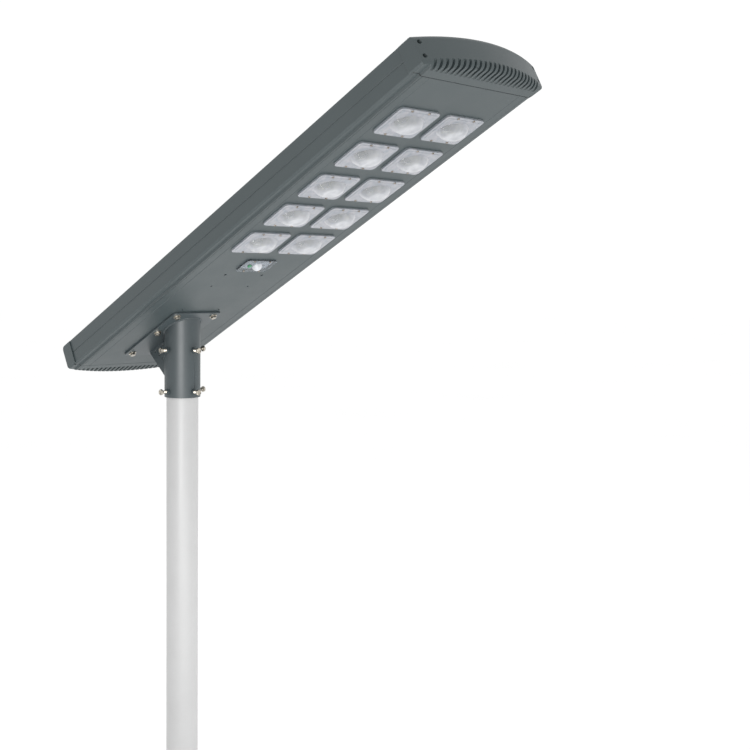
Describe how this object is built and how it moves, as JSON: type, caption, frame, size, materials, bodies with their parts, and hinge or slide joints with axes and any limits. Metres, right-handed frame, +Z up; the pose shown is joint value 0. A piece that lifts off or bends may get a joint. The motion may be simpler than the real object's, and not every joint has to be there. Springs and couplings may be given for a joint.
{
  "type": "solar street lamp",
  "caption": "Street lamp head with lens modules below and a solar panel on top, tilted on a screw-clamped sleeve over a round pole top.",
  "frame": {"origin": "middle of the pole section's lower end, at the mouth of its socket", "axes": "+Z up the pole, +X the way the light is thrown, +Y across the head"},
  "size_m": [1.2712, 0.3676, 1.7007],
  "materials": {
    "pole_paint": "powder coated, light grey",
    "bracket_paint": "powder coated, blue grey",
    "housing_paint": "powder coated, blue grey",
    "zinc_steel": "zinc plated",
    "stainless": "satin",
    "seal_rubber": "moulded",
    "solar_glass": "clear, tempered",
    "solar_cell": "polycrystalline, navy",
    "backsheet": "white film",
    "black_plastic": "moulded",
    "lens_plastic": "clear polycarbonate",
    "led_board": "white solder mask",
    "clear_cover": "clear polycarbonate",
    "white_plastic": "moulded",
    "circuit_board": "green solder mask",
    "green_plastic": "moulded",
    "battery_sleeve": "shrink sleeved",
    "tray_metal": "folded sheet",
    "cable_jacket": "pvc"
  },
  "bodies": {
    "pole": {"pole_tube": "pole_paint"},
    "head": {"bracket_sleeve": "bracket_paint", "bracket_gusset": "bracket_paint", "bracket_plate": "bracket_paint", "clamp_nuts": "bracket_paint", "side_rail_left": "housing_paint", "side_rail_right": "housing_paint", "bottom_plate": "housing_paint", "end_cap_front": "housing_paint", "end_cap_rear": "housing_paint", "bracket_bolts": "zinc_steel", "bracket_washers": "zinc_steel", "bracket_nuts": "zinc_steel", "cap_screws": "stainless", "cover_screws": "stainless", "cap_gasket_front": "seal_rubber", "cap_gasket_rear": "seal_rubber", "lens_seals": "seal_rubber", "window_seal": "seal_rubber", "solar_glass": "solar_glass", "solar_cells": "solar_cell", "solar_backsheet": "backsheet", "junction_box": "black_plastic", "charge_controller": "black_plastic", "remote_receiver": "black_plastic", "lens_1": "lens_plastic", "lens_2": "lens_plastic", "lens_3": "lens_plastic", "lens_4": "lens_plastic", "lens_5": "lens_plastic", "lens_6": "lens_plastic", "lens_7": "lens_plastic", "lens_8": "lens_plastic", "lens_9": "lens_plastic", "lens_10": "lens_plastic", "led_board_1": "led_board", "led_board_2": "led_board", "led_board_3": "led_board", "led_board_4": "led_board", "led_board_5": "led_board", "led_board_6": "led_board", "led_board_7": "led_board", "led_board_8": "led_board", "led_board_9": "led_board", "led_board_10": "led_board", "window_cover": "clear_cover", "sensor_face": "white_plastic", "motion_dome": "white_plastic", "sensor_board": "circuit_board", "battery_cells": "battery_sleeve", "battery_tray": "tray_metal", "wiring": "cable_jacket"},
    "power_button": {"power_button": "green_plastic"},
    "screw_lower_front": {"clamp_screw_lower_front": "zinc_steel"},
    "screw_lower_left": {"clamp_screw_lower_left": "zinc_steel"},
    "screw_lower_right": {"clamp_screw_lower_right": "zinc_steel"},
    "screw_upper_front": {"clamp_screw_upper_front": "zinc_steel"},
    "screw_upper_left": {"clamp_screw_upper_left": "zinc_steel"},
    "screw_upper_right": {"clamp_screw_upper_right": "zinc_steel"}
  },
  "joints": [
    {"name": "head_swivel", "type": "hinge", "parent": "pole", "child": "head", "pos_m": [0, 0, 1.05], "axis": [0, 0, 1], "continuous": true},
    {"name": "power_button_press", "type": "slide", "parent": "head", "child": "power_button", "axis": [-0.4617, 0, 0.887], "range_m": [0, 0.0015], "stiffness_N_per_m": 600, "springref_m": -0.0015},
    {"name": "clamp_screw_lower_front_back_off", "type": "slide", "parent": "head", "child": "screw_lower_front", "axis": [1, 0, 0], "range_m": [0, 0.006]},
    {"name": "clamp_screw_lower_left_back_off", "type": "slide", "parent": "head", "child": "screw_lower_left", "axis": [0, 1, 0], "range_m": [0, 0.006]},
    {"name": "clamp_screw_lower_right_back_off", "type": "slide", "parent": "head", "child": "screw_lower_right", "axis": [0, -1, 0], "range_m": [0, 0.006]},
    {"name": "clamp_screw_upper_front_back_off", "type": "slide", "parent": "head", "child": "screw_upper_front", "axis": [1, 0, 0], "range_m": [0, 0.006]},
    {"name": "clamp_screw_upper_left_back_off", "type": "slide", "parent": "head", "child": "screw_upper_left", "axis": [0, 1, 0], "range_m": [0, 0.006]},
    {"name": "clamp_screw_upper_right_back_off", "type": "slide", "parent": "head", "child": "screw_upper_right", "axis": [0, -1, 0], "range_m": [0, 0.006]}
  ]
}
